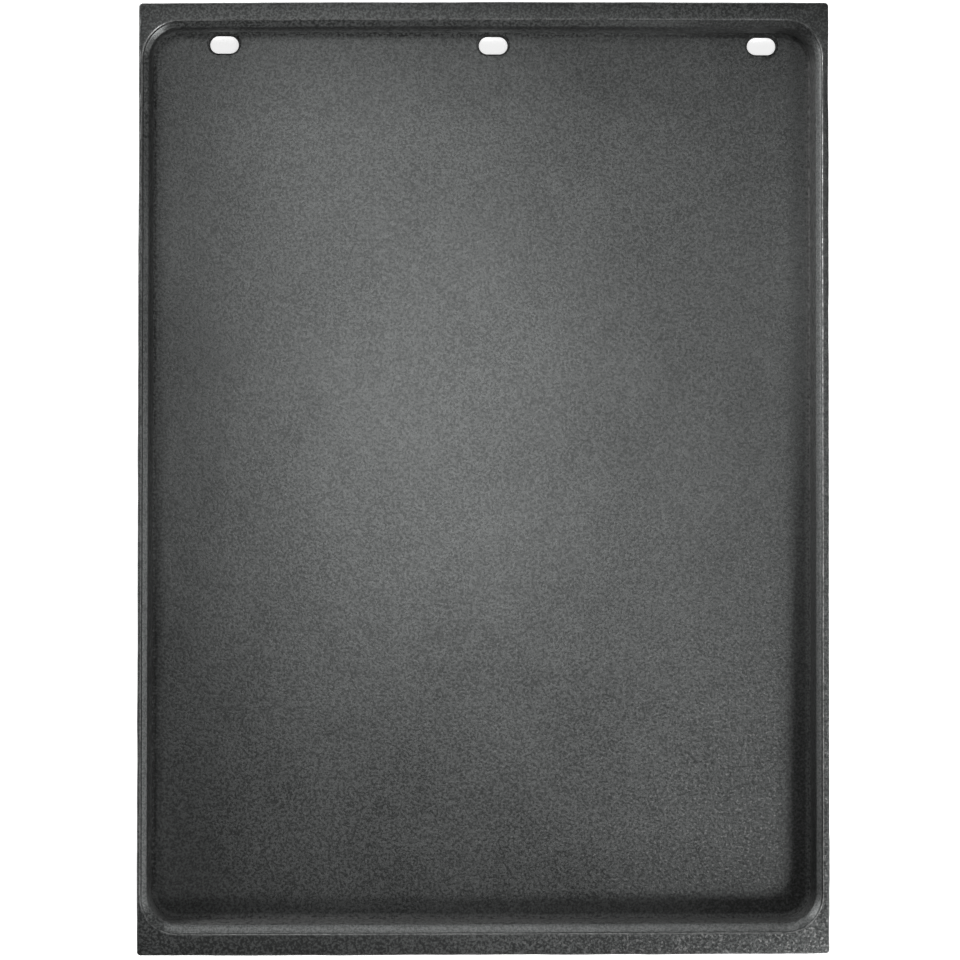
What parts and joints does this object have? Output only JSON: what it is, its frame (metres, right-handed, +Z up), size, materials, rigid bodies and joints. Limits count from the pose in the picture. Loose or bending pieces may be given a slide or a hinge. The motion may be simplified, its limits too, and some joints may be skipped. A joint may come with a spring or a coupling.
{
  "type": "griddle plate",
  "caption": "Shallow rectangular cast-iron griddle plate for a camp stove or grill, with a low rim, a sloped shoulder inside it, a flat ledge at each end and drain slots along the rear wall.",
  "frame": {"origin": "under the middle of the plate, on the flat face that it rests on", "axes": "+X to the right, +Y to the rear edge with the drain slots, +Z up out of the tray"},
  "size_m": [0.319, 0.44, 0.022],
  "materials": {
    "cast_iron": "satin black coat over fine sand-cast grain"
  },
  "bodies": {
    "root": {"griddle_plate": "cast_iron"}
  },
  "joints": []
}
